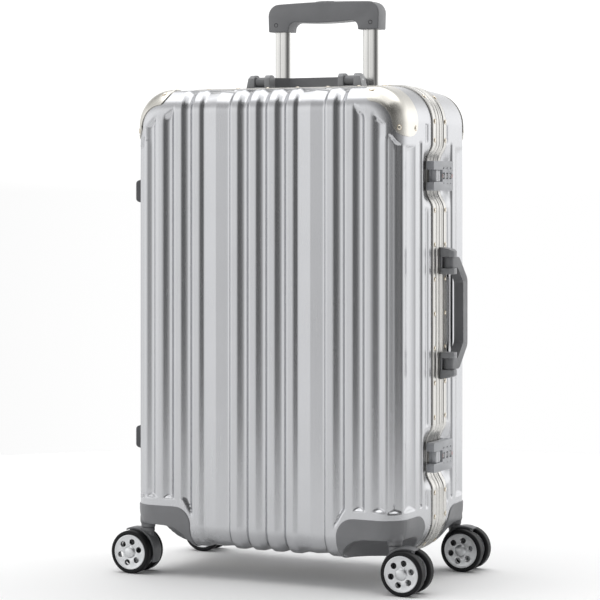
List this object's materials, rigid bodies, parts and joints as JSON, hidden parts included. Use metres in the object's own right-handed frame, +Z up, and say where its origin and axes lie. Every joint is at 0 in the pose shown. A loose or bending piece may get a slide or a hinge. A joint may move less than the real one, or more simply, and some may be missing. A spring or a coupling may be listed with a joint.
{
  "type": "hard shell suitcase",
  "caption": "Upright hard shell travel case with a riveted metal frame, hinged lid, dial locks, folding carry handles, telescopic pull handle and twin-wheel swivel casters.",
  "frame": {"origin": "on the floor under the middle of the case", "axes": "+Z up; the lid faces -Y and the pull handle is at +Y; the locks and the side handle are at +X, the hinges and the side feet at -X"},
  "size_m": [0.4766, 0.2632, 0.8165],
  "materials": {
    "shell": "glossy metallic silver, pressed ribs",
    "frame_metal": "satin extruded profile",
    "cap_metal": "polished warm metal",
    "rivet_metal": "nickel-plated domed heads with brassy edges",
    "grey_plastic": "moulded mid grey, fine texture",
    "lock_grey": "satin silver-grey cast lock case",
    "latch_grey": "satin light grey",
    "dial_grey": "light dials with dark digits",
    "lining_fabric": "woven polyester lining",
    "strap_fabric": "webbing",
    "seal_rubber": "matt black rubber strip",
    "hinge_metal": "brushed",
    "pin_steel": "ground",
    "tube_metal": "satin anodised",
    "foot_plastic": "dark grey moulded",
    "fork_plastic": "dark grey moulded nylon",
    "tyre": "matt black tread",
    "hub_plastic": "silver painted"
  },
  "bodies": {
    "root": {"rear_shell": "shell", "rear_frame": "frame_metal", "rear_lining": "lining_fabric", "rear_corner_caps": "cap_metal", "rear_wheel_housings": "grey_plastic", "rear_rivets": "rivet_metal", "side_handle_lugs": "grey_plastic", "top_handle_lugs": "grey_plastic", "lock_body_upper": "lock_grey", "lock_body_lower": "lock_grey", "hinge_rear_leaves": "hinge_metal", "hinge_pins": "pin_steel", "trolley_outer_tubes": "tube_metal", "trolley_bezel": "grey_plastic", "rear_side_feet": "foot_plastic", "packing_straps": "strap_fabric"},
    "lid": {"front_shell": "shell", "front_frame": "frame_metal", "front_lining": "lining_fabric", "front_corner_caps": "cap_metal", "front_wheel_housings": "grey_plastic", "front_rivets": "rivet_metal", "lock_keepers": "frame_metal", "hinge_front_leaves": "hinge_metal", "front_side_feet": "foot_plastic", "frame_gasket": "seal_rubber"},
    "side_handle": {"side_handle": "grey_plastic"},
    "top_handle": {"top_handle": "grey_plastic"},
    "trolley_lower": {"trolley_mid_tubes": "tube_metal"},
    "trolley_upper": {"trolley_inner_tubes": "tube_metal", "trolley_grip": "grey_plastic"},
    "trolley_button": {"trolley_button": "grey_plastic"},
    "latch_upper": {"latch_upper": "latch_grey"},
    "latch_lower": {"latch_lower": "latch_grey"},
    "dial_upper_1": {"dial_upper_1": "dial_grey"},
    "dial_upper_2": {"dial_upper_2": "dial_grey"},
    "dial_upper_3": {"dial_upper_3": "dial_grey"},
    "dial_lower_1": {"dial_lower_1": "dial_grey"},
    "dial_lower_2": {"dial_lower_2": "dial_grey"},
    "dial_lower_3": {"dial_lower_3": "dial_grey"},
    "caster_fl": {"caster_fork_fl": "fork_plastic"},
    "wheel_fl_outer": {"tyre_fl_outer": "tyre", "hub_fl_outer": "hub_plastic"},
    "wheel_fl_inner": {"tyre_fl_inner": "tyre", "hub_fl_inner": "hub_plastic"},
    "caster_fr": {"caster_fork_fr": "fork_plastic"},
    "wheel_fr_outer": {"tyre_fr_outer": "tyre", "hub_fr_outer": "hub_plastic"},
    "wheel_fr_inner": {"tyre_fr_inner": "tyre", "hub_fr_inner": "hub_plastic"},
    "caster_rl": {"caster_fork_rl": "fork_plastic"},
    "wheel_rl_outer": {"tyre_rl_outer": "tyre", "hub_rl_outer": "hub_plastic"},
    "wheel_rl_inner": {"tyre_rl_inner": "tyre", "hub_rl_inner": "hub_plastic"},
    "caster_rr": {"caster_fork_rr": "fork_plastic"},
    "wheel_rr_outer": {"tyre_rr_outer": "tyre", "hub_rr_outer": "hub_plastic"},
    "wheel_rr_inner": {"tyre_rr_inner": "tyre", "hub_rr_inner": "hub_plastic"}
  },
  "joints": [
    {"name": "lid_hinge", "type": "hinge", "parent": "root", "child": "lid", "pos_m": [-0.2106, 0.0023, 0.362], "axis": [0, 0, -1], "range_deg": [0, 100]},
    {"name": "side_handle_pivot", "type": "hinge", "parent": "root", "child": "side_handle", "pos_m": [0.2198, 0.013, 0.371], "axis": [0, 0, -1], "range_deg": [0, 85]},
    {"name": "top_handle_pivot", "type": "hinge", "parent": "root", "child": "top_handle", "pos_m": [0, 0.013, 0.6968], "axis": [1, 0, 0], "range_deg": [0, 85]},
    {"name": "trolley_lower_slide", "type": "slide", "parent": "root", "child": "trolley_lower", "axis": [0, 0, 1], "range_m": [0, 0.175]},
    {"name": "trolley_upper_slide", "type": "slide", "parent": "trolley_lower", "child": "trolley_upper", "axis": [0, 0, 1], "range_m": [-0.084, 0.091]},
    {"name": "trolley_button_push", "type": "slide", "parent": "trolley_upper", "child": "trolley_button", "axis": [0, 0, -1], "range_m": [0, 0.004], "stiffness_N_per_m": 300, "springref_m": -0.001},
    {"name": "latch_upper_slide", "type": "slide", "parent": "root", "child": "latch_upper", "axis": [0, 1, 0], "range_m": [0, 0.005], "stiffness_N_per_m": 300, "springref_m": -0.001},
    {"name": "latch_lower_slide", "type": "slide", "parent": "root", "child": "latch_lower", "axis": [0, 1, 0], "range_m": [0, 0.005], "stiffness_N_per_m": 300, "springref_m": -0.001},
    {"name": "dial_upper_1_spin", "type": "hinge", "parent": "root", "child": "dial_upper_1", "pos_m": [0.2082, 0.008, 0.561], "axis": [0, 1, 0], "continuous": true},
    {"name": "dial_upper_2_spin", "type": "hinge", "parent": "root", "child": "dial_upper_2", "pos_m": [0.2082, 0.0204, 0.561], "axis": [0, 1, 0], "continuous": true},
    {"name": "dial_upper_3_spin", "type": "hinge", "parent": "root", "child": "dial_upper_3", "pos_m": [0.2082, 0.0328, 0.561], "axis": [0, 1, 0], "continuous": true},
    {"name": "dial_lower_1_spin", "type": "hinge", "parent": "root", "child": "dial_lower_1", "pos_m": [0.2082, 0.008, 0.174], "axis": [0, 1, 0], "continuous": true},
    {"name": "dial_lower_2_spin", "type": "hinge", "parent": "root", "child": "dial_lower_2", "pos_m": [0.2082, 0.0204, 0.174], "axis": [0, 1, 0], "continuous": true},
    {"name": "dial_lower_3_spin", "type": "hinge", "parent": "root", "child": "dial_lower_3", "pos_m": [0.2082, 0.0328, 0.174], "axis": [0, 1, 0], "continuous": true},
    {"name": "swivel_fl", "type": "hinge", "parent": "lid", "child": "caster_fl", "pos_m": [-0.19, -0.107, 0.0725], "axis": [0, 0, 1], "continuous": true},
    {"name": "wheel_fl_outer_spin", "type": "hinge", "parent": "caster_fl", "child": "wheel_fl_outer", "pos_m": [-0.208, -0.107, 0.0303], "axis": [0, 1, 0], "continuous": true},
    {"name": "wheel_fl_inner_spin", "type": "hinge", "parent": "caster_fl", "child": "wheel_fl_inner", "pos_m": [-0.208, -0.107, 0.0303], "axis": [0, 1, 0], "continuous": true},
    {"name": "swivel_fr", "type": "hinge", "parent": "lid", "child": "caster_fr", "pos_m": [0.19, -0.107, 0.0725], "axis": [0, 0, 1], "continuous": true},
    {"name": "wheel_fr_outer_spin", "type": "hinge", "parent": "caster_fr", "child": "wheel_fr_outer", "pos_m": [0.208, -0.107, 0.0303], "axis": [0, 1, 0], "continuous": true},
    {"name": "wheel_fr_inner_spin", "type": "hinge", "parent": "caster_fr", "child": "wheel_fr_inner", "pos_m": [0.208, -0.107, 0.0303], "axis": [0, 1, 0], "continuous": true},
    {"name": "swivel_rl", "type": "hinge", "parent": "root", "child": "caster_rl", "pos_m": [-0.19, 0.107, 0.0725], "axis": [0, 0, 1], "continuous": true},
    {"name": "wheel_rl_outer_spin", "type": "hinge", "parent": "caster_rl", "child": "wheel_rl_outer", "pos_m": [-0.208, 0.107, 0.0303], "axis": [0, 1, 0], "continuous": true},
    {"name": "wheel_rl_inner_spin", "type": "hinge", "parent": "caster_rl", "child": "wheel_rl_inner", "pos_m": [-0.208, 0.107, 0.0303], "axis": [0, 1, 0], "continuous": true},
    {"name": "swivel_rr", "type": "hinge", "parent": "root", "child": "caster_rr", "pos_m": [0.19, 0.107, 0.0725], "axis": [0, 0, 1], "continuous": true},
    {"name": "wheel_rr_outer_spin", "type": "hinge", "parent": "caster_rr", "child": "wheel_rr_outer", "pos_m": [0.208, 0.107, 0.0303], "axis": [0, 1, 0], "continuous": true},
    {"name": "wheel_rr_inner_spin", "type": "hinge", "parent": "caster_rr", "child": "wheel_rr_inner", "pos_m": [0.208, 0.107, 0.0303], "axis": [0, 1, 0], "continuous": true}
  ]
}
